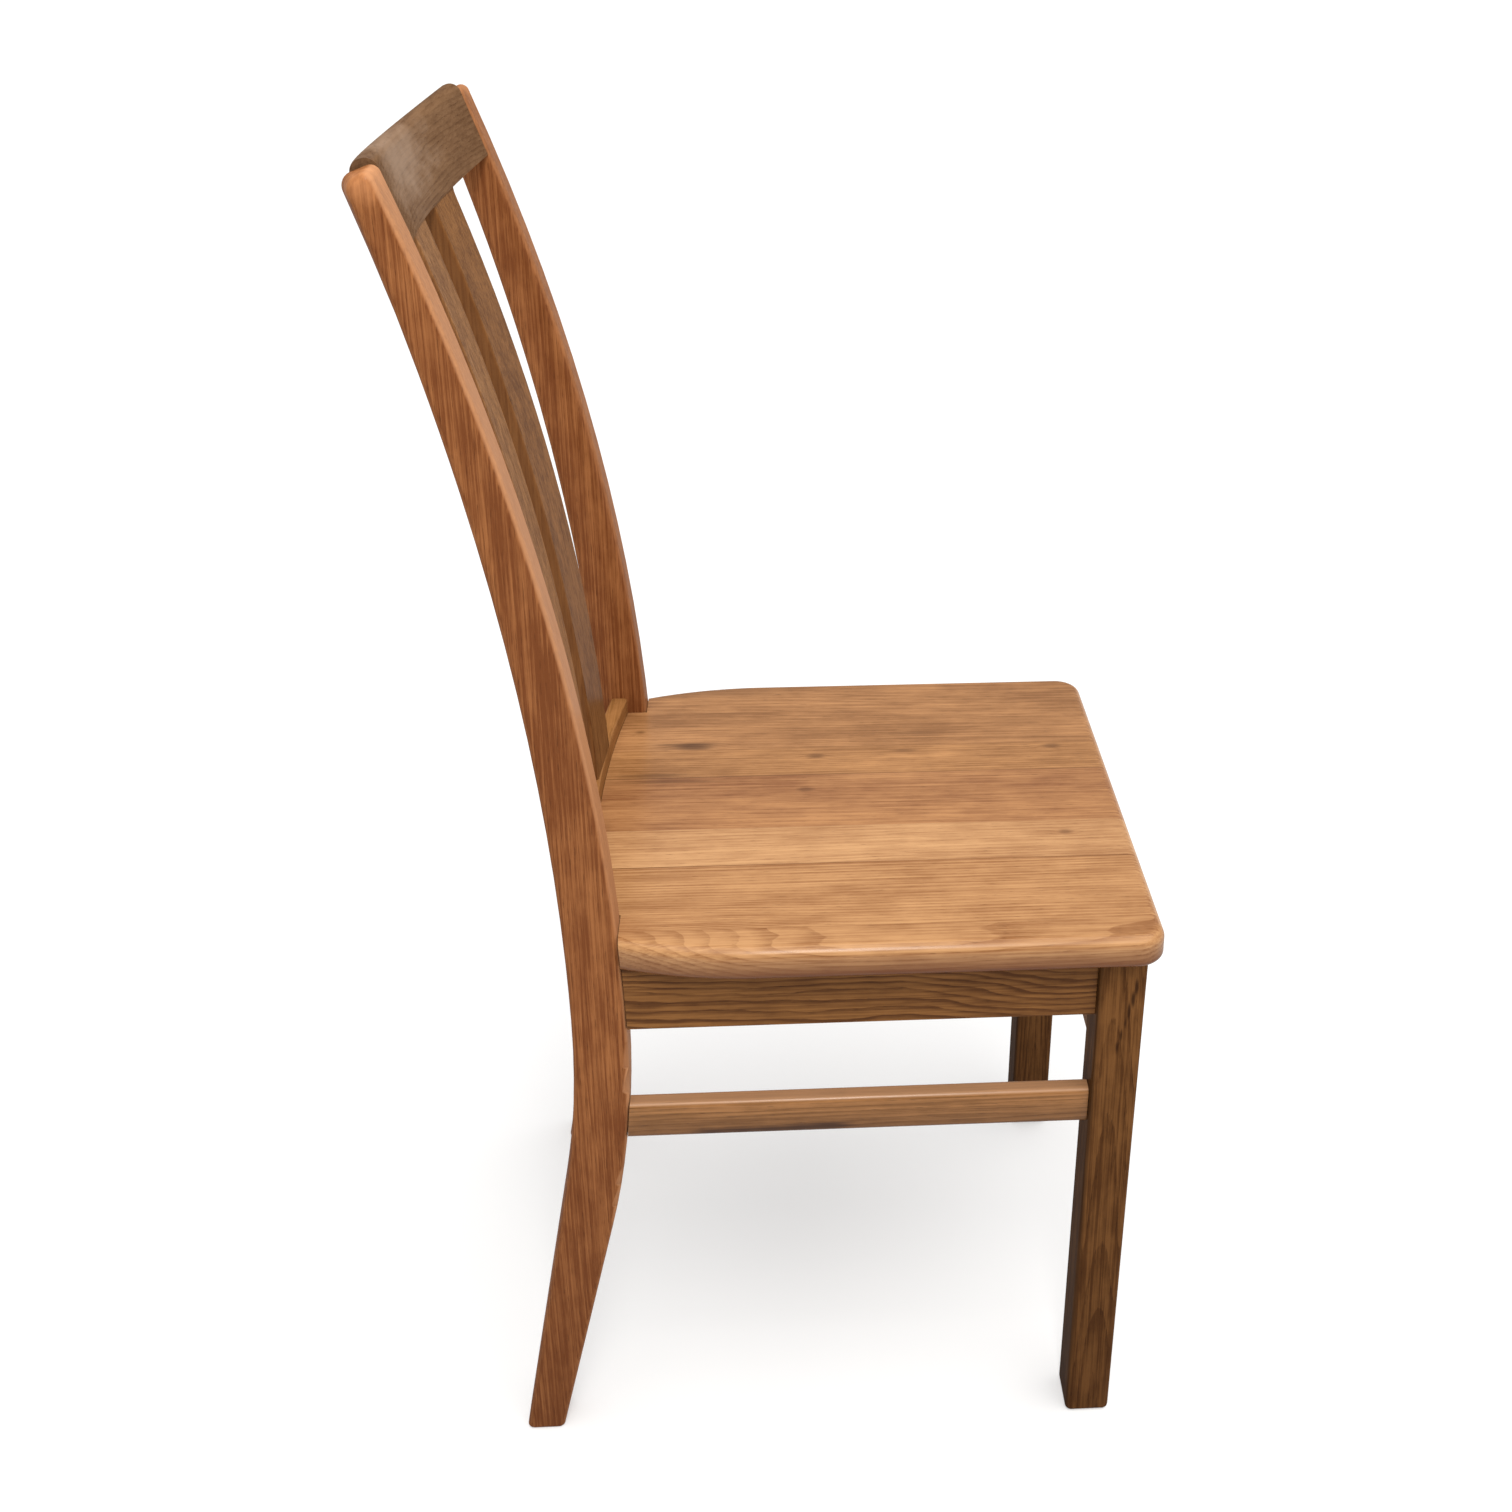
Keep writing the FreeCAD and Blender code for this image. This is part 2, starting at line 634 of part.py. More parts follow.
def make_corner_block(label, side, front):
    """A block in the corner of the seat frame, notched round the leg or post."""
    body = new_body(label)
    gap, reach, toe = size["block_gap"], size["block_reach"], size["block_toe"]
    low = frame_top - size["block_width"]
    side_wall = size["side_rail_centre"] - size["rail_thickness"] * 0.5 - gap
    if front:
        wall = size["front_rail_rear"] + gap
        ledge = leg_rear(low) + gap
        leg_face = size["leg_outer"] - size["leg_width"] - gap
        sign = 1.0
    else:
        wall = size["rear_rail_front"] - gap
        ledge = post_front(low) - gap
        leg_face = post_inner - gap
        sign = -1.0
    tip = wall + sign * reach
    wing = leg_face - reach * size["block_wing"]
    corners = [(wing, wall), (leg_face, wall), (leg_face, ledge),
               (side_wall, ledge), (side_wall, tip),
               (side_wall - toe, tip), (wing, wall + sign * toe)]
    corners = [(x * side, y) for x, y in corners]
    sketch = draw_outline(body, XY, corners, offset=low)
    pad(body, sketch, size["block_width"] - gap)
    place(body)
    return body


def make_dowels(prefix, spots, radius, length):
    """Dowels centred on their spots, and slightly larger holes for them."""
    dowels, holes = [], []
    gap = size["dowel_gap"]
    for number, (x, y, z, axis) in enumerate(spots, start=1):
        half = length * 0.5
        start = [value - half * float(step) for value, step in zip((x, y, z), axis)]
        dowels.append(cylinder(f"{prefix}_{number}", radius, length, *start, axis))
        wider = [value - (half + gap) * float(step) for value, step in zip((x, y, z), axis)]
        holes.append(cylinder(f"{prefix}_hole_{number}", radius + gap, length + 2.0 * gap,
                              *wider, axis))
    return dowels, holes


def rail_dowel_spots():
    """Two dowels in every joint of the seat frame."""
    spots = []
    spread = size["dowel_spacing"] * 0.5
    side_middle = frame_top - size["side_rail_width"] * 0.5
    front_middle = frame_top - size["front_rail_width"] * 0.5
    leg_face = size["leg_outer"] - size["leg_width"]
    for side in (-1.0, 1.0):
        for step in (-1.0, 1.0):
            level = side_middle + spread * step
            spots.append((leg_face * side, size["front_rail_rear"] - size["rail_thickness"] * 0.5,
                          front_middle + 2.0 * spread * step, (1, 0, 0)))
            spots.append((size["side_rail_centre"] * side, leg_rear(level), level, (0, 1, 0)))
            spots.append((size["side_rail_centre"] * side, post_front(level), level, (0, 1, 0)))
            spots.append((post_inner * side, size["rear_rail_front"] + size["rail_thickness"] * 0.5,
                          level, (1, 0, 0)))
    return spots


def stretcher_dowel_spots():
    level = size["stretcher_top"] - size["stretcher_width"] * 0.5
    spots = []
    for side in (-1.0, 1.0):
        spots.append((size["stretcher_centre"] * side, leg_rear(level), level, (0, 1, 0)))
        spots.append((size["stretcher_centre"] * side, post_front(level), level, (0, 1, 0)))
    return spots


def back_dowel_spots():
    """Two dowels at each end of the crest and one at each end of the lower back rail."""
    depth, height = crest_frame_origin()
    tilt, middle = size["crest_tilt"], size["crest_thickness"] * 0.5
    spots = []
    for side in (-1.0, 1.0):
        for share in ("crest_dowel_low", "crest_dowel_high"):
            up = size["crest_width"] * size[share]
            spots.append((post_inner * side, depth + middle * cosine(tilt) + up * sine(tilt),
                          height - middle * sine(tilt) + up * cosine(tilt), (1, 0, 0)))
        spots.append((post_inner * side,
                      size["lower_rail_front"] + size["lower_rail_thickness"] * 0.5,
                      (size["lower_rail_bottom"] + size["lower_rail_top"]) * 0.5, (1, 0, 0)))
    return spots


def make_screw(name, length, x, y, z, axis):
    """A countersunk screw whose head is flush at x, y, z."""
    shank = cylinder(f"{name}_shank", size["screw_radius"], length, x, y, z, axis)
    return fuse(name, shank, screw_head(f"{name}_head", x, y, z, axis, ZERO))


def make_screw_hole(name, length, x, y, z, axis):
    """The hole for a screw, with a bore that lets its head in from outside."""
    gap, bore = size["dowel_gap"], size["bore_length"]
    shank = cylinder(f"{name}_shank", size["screw_radius"] + gap, length + gap, x, y, z, axis)
    out = [value - bore * float(step) for value, step in zip((x, y, z), axis)]
    entry = cylinder(f"{name}_bore", size["screw_head_radius"] + gap, bore, *out, axis)
    drilled = fuse(f"{name}_drilled", shank, entry)
    return fuse(name, drilled, screw_head(f"{name}_head", x, y, z, axis, gap))


def screw_head(name, x, y, z, axis, grow):
    head = doc.addObject("Part::Cone", name)
    head.setExpression("Radius1", (size["screw_head_radius"] + grow).text)
    head.setExpression("Radius2", (size["screw_radius"] + grow).text)
    head.setExpression("Height", size["screw_head_height"].text)
    turned = FreeCAD.Rotation(FreeCAD.Vector(0, 0, 1), FreeCAD.Vector(*axis))
    head.Placement = FreeCAD.Placement(FreeCAD.Vector(), turned)
    place(head, x, y, z)
    return head


def fuse(name, base, tool):
    joined = doc.addObject("Part::Fuse", name)
    joined.Base = base
    joined.Tool = tool
    return joined


def screw_spots(side, front):
    """Where a corner block's three screws start: into the rail, the side rail and the seat."""
    if front:
        wall, sign = size["front_rail_rear"], 1.0
        leg_face = size["leg_outer"] - size["leg_width"]
    else:
        wall, sign = size["rear_rail_front"], -1.0
        leg_face = post_inner
    under = frame_top - size["block_width"]
    level = frame_top - size["block_width"] * size["screw_level"]

    def spot(kind, height, axis):
        across = size["block_reach"] * size[f"{kind}_screw_across"]
        along = size["block_reach"] * size[f"{kind}_screw_along"]
        return (leg_face - across) * side, wall + sign * along, height, axis

    into_rail = spot("rail", level, (0, -sign, 0))
    into_side = spot("side", level, (side, 0, 0))
    into_seat = spot("seat", under, (0, 0, 1))
    return into_rail, into_side, into_seat


def build():
    sides = (("right", -1.0), ("left", 1.0))
    rail_low = frame_top - size["side_rail_width"]

    rail_dowels, rail_holes = make_dowels(
        "rail_dowel", rail_dowel_spots(), size["dowel_radius"], size["dowel_length"])
    bar_dowels, bar_holes = make_dowels(
        "stretcher_dowel", stretcher_dowel_spots(), size["dowel_radius"], size["dowel_length"])
    back_dowels, back_holes = make_dowels(
        "back_dowel", back_dowel_spots(), size["small_dowel_radius"], size["small_dowel_length"])

    block_screws, seat_screws, screw_holes = [], [], []
    for name, side in sides:
        for end, front in (("front", True), ("rear", False)):
            spots = screw_spots(side, front)
            kinds = (("rail", size["block_screw_length"], block_screws),
                     ("side", size["block_screw_length"], block_screws),
                     ("seat", size["seat_screw_length"], seat_screws))
            for (kind, length, screws), spot in zip(kinds, spots):
                base = f"{end}_{name}_{kind}_screw"
                screws.append(make_screw(base, length, *spot))
                screw_holes.append(make_screw_hole(f"{base}_hole", length, *spot))
    doc.recompute()
    frame_holes = group("frame_holes", rail_holes + bar_holes + back_holes + screw_holes)

    for name, side in sides:
        finish(cut(f"rear_post_{name}", make_post(f"post_{name}", side), frame_holes))
        finish(cut(f"front_leg_{name}", make_front_leg(f"leg_{name}", side), frame_holes))
        finish(cut(f"side_rail_{name}", make_side_bar(
            f"rail_{name}", side, rail_low, frame_top, size["rail_thickness"],
            size["side_rail_centre"], size["rail_edge_round"]), frame_holes))
        finish(cut(f"side_stretcher_{name}", make_side_bar(
            f"bar_{name}", side, size["stretcher_top"] - size["stretcher_width"],
            size["stretcher_top"], size["stretcher_thickness"], size["stretcher_centre"],
            size["stretcher_round"]), frame_holes))
        for end, front in (("front", True), ("rear", False)):
            finish(cut(f"corner_block_{end}_{name}",
                       make_corner_block(f"block_{end}_{name}", side, front), frame_holes))
    finish(cut("front_rail", make_front_rail(), frame_holes))
    finish(cut("rear_rail", make_rear_rail(), frame_holes))

    mortises = []
    for name, side in sides:
        pair = group(f"mortises_{name}", make_tenons(f"mortise_{name}", size["tenon_gap"]))
        place_like_slat(pair, side)
        mortises.append(pair)
    back_cuts = group("back_cuts", back_holes + mortises)
    finish(cut("lower_back_rail", make_lower_back_rail(), back_cuts))
    crest = finish(cut("crest_rail", make_crest(), back_cuts))
    for name, side in sides:
        finish(cut(f"back_slat_{name}", make_slat(f"slat_{name}", side), crest))

    seat = cut("seat_drilled", make_seat_blank(), frame_holes)
    for board in make_seat_boards(seat):
        finish(board)

    finish(group("rail_dowels", rail_dowels))
    finish(group("stretcher_dowels", bar_dowels))
    finish(group("back_dowels", back_dowels))
    finish(group("corner_block_screws", block_screws))
    finish(group("seat_screws", seat_screws))


def check_and_export():
    doc.recompute()
    for item in doc.Objects:
        if "Invalid" in item.State or "Error" in item.State:
            raise RuntimeError(f"{item.Label} failed: {item.State}")
    for piece in nodes:
        if piece.Shape.isNull() or not piece.Shape.isValid() or not piece.Shape.Solids:
            raise RuntimeError(f"{piece.Label} has no sound shape")
    os.makedirs("parts", exist_ok=True)
    for piece in nodes:
        piece.Shape.exportStep(f"parts/{piece.Label}.step")
        box = piece.Shape.BoundBox
        print(f"{piece.Label:28s} solids {len(piece.Shape.Solids):2d}"
              f" volume {piece.Shape.Volume / 1000:8.1f} cm3"
              f"  x {box.XMin:7.1f} {box.XMax:7.1f}  y {box.YMin:7.1f} {box.YMax:7.1f}"
              f"  z {box.ZMin:6.1f} {box.ZMax:6.1f}")


build()
check_and_export()
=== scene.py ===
import bpy
import math
from mathutils import Matrix, Vector


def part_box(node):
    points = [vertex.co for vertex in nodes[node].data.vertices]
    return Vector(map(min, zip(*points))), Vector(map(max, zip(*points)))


# A solid oak dining chair with a satin clear lacquer. Metres, +Z up, the sitter faces -Y. Every
# shape is the CAD's own: this script adds the materials, the floor, the lights and the camera.

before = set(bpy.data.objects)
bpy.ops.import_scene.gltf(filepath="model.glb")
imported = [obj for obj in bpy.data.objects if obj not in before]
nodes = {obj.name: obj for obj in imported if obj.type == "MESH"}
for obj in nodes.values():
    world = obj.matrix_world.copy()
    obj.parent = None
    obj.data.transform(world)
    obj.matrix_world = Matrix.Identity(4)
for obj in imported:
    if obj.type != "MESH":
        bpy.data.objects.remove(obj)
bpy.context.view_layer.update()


# ---- camera: at the chair's right, looking across it and down

EYE = Vector((-1.3662, -0.0010, 1.1769))
HEADING = math.radians(-3.811)
DOWN = math.radians(25.849)
ROLL = math.radians(0.271)
LENS_MM = 45.525
SENSOR_MM = 36.0
SHIFT = (-0.0955, -0.0126)


def add_camera():
    forward = Vector((math.cos(DOWN) * math.cos(HEADING), math.cos(DOWN) * math.sin(HEADING),
                      -math.sin(DOWN)))
    level = Vector((math.sin(HEADING), -math.cos(HEADING), 0.0))
    up = level.cross(forward)
    right = math.cos(ROLL) * level + math.sin(ROLL) * up
    up = right.cross(forward)
    data = bpy.data.cameras.new("camera")
    data.sensor_width = SENSOR_MM
    data.lens = LENS_MM
    data.shift_x, data.shift_y = SHIFT
    camera = bpy.data.objects.new("camera", data)
    turned = Matrix((right, up, -forward)).transposed()
    camera.matrix_world = Matrix.Translation(EYE) @ turned.to_4x4()
    bpy.context.collection.objects.link(camera)
    bpy.context.scene.camera = camera


# ---- light and floor

FLOOR_REACH = 60.0
FLOOR_ALBEDO = 0.55
# A floor that shines a little keeps the chair's shadow faint, as on a lit studio table.
FLOOR_SHINE = 0.42
FLOOR_ROUGHNESS = 0.9
SKY_STRENGTH = 0.52
OVERHEAD_FROM = (-0.5, -0.6, 2.4)
OVERHEAD_STRENGTH = 2.5
OVERHEAD_SPREAD = math.radians(75.0)
SOFTBOX_FROM = (-1.3, -0.1, 2.2)
SOFTBOX_TARGET = (0.0, 0.0, 0.4)
SOFTBOX_SIZE = (0.25, 0.9)
SOFTBOX_WATTS = 18.0


def grey(level):
    return (level, level, level, 1.0)


def aim(location, target):
    return (Vector(target) - Vector(location)).to_track_quat("-Z", "Y").to_euler()


def add_light(name, kind, location, target, colour):
    data = bpy.data.lights.new(name, kind)
    data.color = colour
    light = bpy.data.objects.new(name, data)
    light.location = location
    light.rotation_euler = aim(location, target)
    bpy.context.collection.objects.link(light)
    return data


def add_stage():
    world = bpy.data.worlds.new("studio")
    bpy.context.scene.world = world
    world.use_nodes = True
    background = world.node_tree.nodes["Background"]
    background.inputs["Color"].default_value = grey(1.0)
    background.inputs["Strength"].default_value = SKY_STRENGTH

    mesh = bpy.data.meshes.new("floor")
    corners = [(-1, -1), (1, -1), (1, 1), (-1, 1)]
    mesh.from_pydata([(x * FLOOR_REACH, y * FLOOR_REACH, 0.0) for x, y in corners], [],
                     [(0, 1, 2, 3)])
    floor = bpy.data.objects.new("floor", mesh)
    bpy.context.collection.objects.link(floor)
    paint = bpy.data.materials.new("floor_paint")
    paint.use_nodes = True
    shader = paint.node_tree.nodes["Principled BSDF"]
    shader.inputs["Base Color"].default_value = grey(FLOOR_ALBEDO)
    shader.inputs["Emission Color"].default_value = grey(1.0)
    shader.inputs["Emission Strength"].default_value = FLOOR_SHINE
    shader.inputs["Roughness"].default_value = FLOOR_ROUGHNESS
    mesh.materials.append(paint)

    # a broad overhead light evens out the floor, and a nearer one puts a sheen on rounded edges
    overhead = add_light("overhead", "SUN", OVERHEAD_FROM, (0.0, 0.0, 0.0), (1.0, 0.985, 0.965))
    overhead.energy = OVERHEAD_STRENGTH
    overhead.angle = OVERHEAD_SPREAD
    softbox = add_light("softbox", "AREA", SOFTBOX_FROM, SOFTBOX_TARGET, (1.0, 0.98, 0.95))
    softbox.energy = SOFTBOX_WATTS
    softbox.shape = "RECTANGLE"
    softbox.size, softbox.size_y = SOFTBOX_SIZE


# ---- materials

class Graph:
    """Short calls for adding and joining a material's nodes."""

    def __init__(self, name):
        self.material = bpy.data.materials.new(name)
        self.material.use_nodes = True
        self.tree = self.material.node_tree
        self.shader = self.tree.nodes["Principled BSDF"]

    def put(self, kind, **settings):
        node = self.tree.nodes.new(kind)
        for key, value in settings.items():
            setattr(node, key, value)
        return node

    def feed(self, socket, value):
        if isinstance(value, bpy.types.NodeSocket):
            self.tree.links.new(value, socket)
        else:
            socket.default_value = value

    def math(self, operation, a, b=None, clamp=False):
        node = self.put("ShaderNodeMath", operation=operation, use_clamp=clamp)
        for socket, value in zip(node.inputs, (a, b)):
            if value is not None:
                self.feed(socket, value)
        return node.outputs[0]

    def add(self, a, b):
        return self.math("ADD", a, b)

    def subtract(self, a, b):
        return self.math("SUBTRACT", a, b)

    def times(self, a, b, clamp=False):
        return self.math("MULTIPLY", a, b, clamp)

    def sway_by(self, value, noise, amount):
        """Push a value either way by a noise whose middle is one half."""
        return self.add(value, self.times(self.subtract(noise, 0.5), amount))

    def fit(self, value, low, high, new_low=0.0, new_high=1.0, smooth=False):
        """Map low..high onto new_low..new_high, held at both ends."""
        node = self.put("ShaderNodeMapRange")
        if smooth:
            node.interpolation_type = "SMOOTHSTEP"
        for key, number in (("From Min", low), ("From Max", high), ("To Min", new_low),
                            ("To Max", new_high)):
            self.feed(node.inputs[key], number)
        self.feed(node.inputs["Value"], value)
        return node.outputs[0]

    def mix(self, share, a, b):
        """A colour that goes from a to b with the share."""
        node = self.put("ShaderNodeMix", data_type="RGBA")
        factor, _, _, _, _, _, first, second, _, _ = node.inputs
        self.feed(factor, share)
        self.feed(first, a)
        self.feed(second, b)
        return node.outputs[2]

    def stretch(self, vector, scale, shift=(0.0, 0.0, 0.0), turn=(0.0, 0.0, 0.0)):
        node = self.put("ShaderNodeMapping")
        node.inputs["Location"].default_value = shift
        node.inputs["Rotation"].default_value = turn
        node.inputs["Scale"].default_value = scale
        self.feed(node.inputs["Vector"], vector)
        return node.outputs[0]

    def noise(self, vector, scale, detail=3.0, roughness=0.55):
        node = self.put("ShaderNodeTexNoise")
        self.feed(node.inputs["Vector"], vector)
        node.inputs["Scale"].default_value = scale
        node.inputs["Detail"].default_value = detail
        node.inputs["Roughness"].default_value = roughness
        return node.outputs[0]

    def distance(self, place, spot, size):
        """Distance from a spot, counted in that spot's own size along each axis."""
        offset = self.put("ShaderNodeVectorMath", operation="SUBTRACT")
        self.feed(offset.inputs[0], place)
        offset.inputs[1].default_value = spot
        length = self.put("ShaderNodeVectorMath", operation="LENGTH")
        shaped = self.stretch(offset.outputs[0], tuple(1.0 / side for side in size))
        self.feed(length.inputs[0], shaped)
        return length.outputs["Value"]

    def split(self, vector):
        node = self.put("ShaderNodeSeparateXYZ")
        self.feed(node.inputs[0], vector)
        return node.outputs


def srgb(red, green, blue):
    """A linear colour from display values of 0 to 255."""
    def linear(value):
        value /= 255.0
        return value / 12.92 if value <= 0.04045 else ((value + 0.055) / 1.055) ** 2.4
    return (linear(red), linear(green), linear(blue), 1.0)


# Turns that bring a piece's long axis onto the texture's z axis, the way the trunk grew.
ALONG_Z = (0.0, 0.0, 0.0)
ALONG_Y = (math.radians(90.0), 0.0, 0.0)
ALONG_X = (0.0, math.radians(90.0), 0.0)

# A swelling of the rings narrower than this, in metres, is a knot and has a dark eye.
KNOT_LIMIT = 0.02

# The noises of the wood: how many to the metre across, across and along the grain, where each
# one starts, its detail and its roughness.
NOISES = {
    "slow": ((6.0, 6.0, 2.2), (0.0, 0.0, 0.0), 2.0, 0.5),
    "sway": ((30.0, 30.0, 9.0), (3.1, 1.7, 0.4), 3.0, 0.55),
    "patch": ((17.0, 17.0, 4.5), (11.0, 5.0, 2.0), 4.0, 0.6),
    "mottle": ((75.0, 75.0, 32.0), (2.0, 8.0, 5.0), 4.0, 0.6),
    "fleck": ((60.0, 260.0, 30.0), (1.0, 6.0, 3.0), 2.0, 0.5),
    "strand": ((420.0, 420.0, 3.5), (5.0, 9.0, 4.0), 3.0, 0.55),
    "fibre": ((1100.0, 1100.0, 16.0), (0.0, 0.0, 0.0), 3.0, 0.6),
    "pores": ((1700.0, 1700.0, 95.0), (7.0, 2.0, 1.0), 2.0, 0.5),
}

# How each fine noise shades the wood: the range of the noise that counts, then what the low and
# the high end of that range add to the depth of the colour.
FINE_GRAIN = {
    "strand": (0.38, 0.64, -0.12, 0.45),
    "fibre": (0.38, 0.66, -0.22, 0.42),
    "mottle": (0.35, 0.65, -0.18, 0.30),
}

# How far the slow noises push the rings, for each metre of a wood's own wave.
SLOW_WAVES = 4.0
SWAY_WAVES = 0.7

# Where in a year the wood starts to darken, where its pores start and where it is darkest, from
# 0 to 1, then how strong the faintest year is.
YEAR_DARKENS = 0.25
YEAR_PORES = 0.50
YEAR_DARKEST = 0.95
FAINTEST_YEAR = 0.35

# How ragged the outlines of the marks are.
EYE_RAGGED = 1.2
STREAK_RAGGED = 2.2
HIGHLIGHT_RAGGED = 1.5

# How strongly the dark parts of the figure turn the pale colour into the deep one.
DEPTH_SHARE = 0.66
PORE_SHARE = 0.6
EYE_SHARE = 0.55
# the rounded edges turn paler, partly from wear and partly as a painted highlight
WEAR_AND_HIGHLIGHT_SHARE = 0.45
FLECK_SHARE = 0.16

# What fibres and pores add to the roughness, and what wear takes from it.
FIBRE_ROUGHNESS = 0.10
PORE_ROUGHNESS = 0.18
WORN_SMOOTHNESS = 0.07

# How far fibres stand up and how far pores and year lines are sunk, as shares of the bump.
FIBRE_RELIEF = 0.35
PORE_RELIEF = 0.7
RING_RELIEF = 0.25
BUMP_STRENGTH = 0.35
BUMP_METRES = 0.0004

# The lacquer is a little smoother than the wood under it, and only the lacquer reflects.
COAT_ROUGHNESS = 0.24


def year_radius(g, place, along, pith, wave, noises):
    """Distance from the pith, which leans by pith[2] along the grain, pushed about by noise."""
    x, y, z = g.split(g.stretch(place, (1.0, 1.0, 1.0), turn=along))
    across = g.subtract(x, pith[0])
    through = g.subtract(y, pith[1])
    radius = g.math("SQRT", g.add(g.times(across, across), g.times(through, through)))
    radius = g.add(radius, g.times(z, pith[2]))
    radius = g.sway_by(radius, noises["slow"], wave * SLOW_WAVES)
    return g.sway_by(radius, noises["sway"], wave * SWAY_WAVES)


def push_rings(g, place, radius, knots, sway):
    """The radius bulged round each knot or swelling, and the dark eyes of the knots."""
    eyes = 0.0
    for spot, size, strength in knots:
        share = g.distance(place, spot, size)
        bulge = g.math("EXPONENT", g.times(g.times(share, share), -1.0))
        radius = g.add(radius, g.times(bulge, strength))
        if size[0] < KNOT_LIMIT:
            ragged = g.sway_by(share, sway, EYE_RAGGED)
            eyes = g.add(g.fit(ragged, 0.9, 0.1, smooth=True), eyes)
    return radius, eyes


def oak(name, along, tones, pith, rings=260.0, wave=0.008, line=0.6, cloud=0.5, knots=(),
        streaks=(), painted_highlights=(), fine=1.0, darken_below=None, painted_side_light=None, coat=0.12, gloss=0.36, seed=0.0):
    """Solid oak. Its year rings are circles round the pith, with so many rings to the metre, so
    that faces show arches, ribbons and straight grain.
    tones: the pale, deep and dark colours of the wood.
    wave, line, cloud, fine: how strong the waves in the rings, the ring lines, the broad patches
    and the fine grain are.
    knots, streaks, painted_highlights: swellings of the rings, dark marks and painted highlights,
    each with its place and size, then a painted highlight's colour, then its strength.
    darken_below: the height where darkening starts, the lower height where it is full, and how
    much;
    it is painted shade on the seat boards and stretchers, and darker towards the floor on the posts
    and legs.
    painted_side_light: painted light or shade on the side that faces one way, with its direction,
    colour and strength."""
    pale, deep, dark = tones
    g = Graph(name)
    place = g.put("ShaderNodeTexCoord").outputs["Object"]
    grain = g.stretch(place, (1.0, 1.0, 1.0), (seed, seed * 0.7, 0.0), along)
    noises = {kind: g.noise(g.stretch(grain, scale, start), 1.0, detail, roughness)
              for kind, (scale, start, detail, roughness) in NOISES.items()}
    patch, fibre = noises["patch"], noises["fibre"]
    radius = year_radius(g, place, along, pith, wave, noises)
    radius, eyes = push_rings(g, place, radius, knots, noises["sway"])

    # year rings: a slow darkening through each year, then a porous line, stronger in some years
    year = g.times(radius, rings)
    phase = g.math("FRACT", year)
    chance = g.put("ShaderNodeTexWhiteNoise", noise_dimensions="1D")
    g.feed(chance.inputs["W"], g.math("FLOOR", year))
    weight = g.fit(chance.outputs["Value"], 0.0, 1.0, FAINTEST_YEAR, 1.0)
    slope = g.times(g.fit(phase, YEAR_DARKENS, YEAR_DARKEST, smooth=True),
                    g.fit(phase, YEAR_DARKEST, 1.0, 1.0, 0.0, smooth=True))
    ring = g.times(g.times(slope, weight), line)
    pore_zone = g.fit(phase, YEAR_PORES, YEAR_DARKEST, 0.10, 1.0, smooth=True)
    pore_mark = g.times(g.fit(noises["pores"], 0.58, 0.68), pore_zone)

    # colour: the figure, then the marks on it
    depth = g.add(ring, g.times(g.fit(patch, 0.32, 0.68), cloud))
    for kind, (low, high, lighten, darken) in FINE_GRAIN.items():
        depth = g.add(depth, g.fit(noises[kind], low, high, lighten * fine, darken * fine))
    colour = g.mix(g.times(depth, DEPTH_SHARE, clamp=True), pale, deep)
    colour = g.mix(g.times(pore_mark, PORE_SHARE), colour, dark)
    colour = g.mix(g.fit(noises["fleck"], 0.62, 0.76, 0.0, FLECK_SHARE), colour, pale)
    if knots:
        colour = g.mix(g.times(eyes, EYE_SHARE, clamp=True), colour, dark)
    for spot, size, strength in streaks:
        ragged = g.sway_by(g.distance(place, spot, size), noises["strand"], STREAK_RAGGED)
        colour = g.mix(g.fit(ragged, 1.1, 0.2, 0.0, strength, smooth=True), colour, dark)
    # painted highlights: pale patches that stand in for light and sheen on the surface
    for spot, size, light, strength in painted_highlights:
        ragged = g.sway_by(g.distance(place, spot, size), noises["mottle"], HIGHLIGHT_RAGGED)
        colour = g.mix(g.fit(ragged, 1.3, 0.0, 0.0, strength, smooth=True), colour, light)

    # handling has rubbed the rounded edges paler and smoother, and their paler colour is also a
    # painted highlight on the roundings
    normal = g.put("ShaderNodeNewGeometry").outputs["Normal"]
    facing = [g.math("ABSOLUTE", part) for part in g.split(normal)]
    flat = g.math("MAXIMUM", facing[0], g.math("MAXIMUM", facing[1], facing[2]))
    wear_and_highlight = g.times(g.fit(flat, 0.92, 0.72, smooth=True), g.fit(patch, 0.25, 0.6, 0.3, 1.0))
    colour = g.mix(g.times(wear_and_highlight, WEAR_AND_HIGHLIGHT_SHARE), colour, pale)
    # painted light or shade on the side that faces the given direction
    if painted_side_light:
        side, painted_side_colour, strength = painted_side_light
        turned = g.put("ShaderNodeVectorMath", operation="DOT_PRODUCT")
        g.feed(turned.inputs[0], normal)
        turned.inputs[1].default_value = side
        share = g.times(g.fit(turned.outputs["Value"], 0.35, 0.85, smooth=True),
                        g.fit(patch, 0.3, 0.6, 0.7 * strength, strength))
        colour = g.mix(share, colour, painted_side_colour)
    # darker towards the bottom: painted shade on the seat boards and stretchers, and darker towards
    # the floor on the posts and legs
    if darken_below:
        darkening_top, darkening_bottom, amount = darken_below
        height = g.split(place)[2]
        low_darkening = g.times(g.fit(height, darkening_top, darkening_bottom, 0.0, amount), g.fit(patch, 0.2, 0.8, 0.85, 1.1))
        colour = g.mix(low_darkening, colour, dark)
    g.feed(g.shader.inputs["Base Color"], colour)

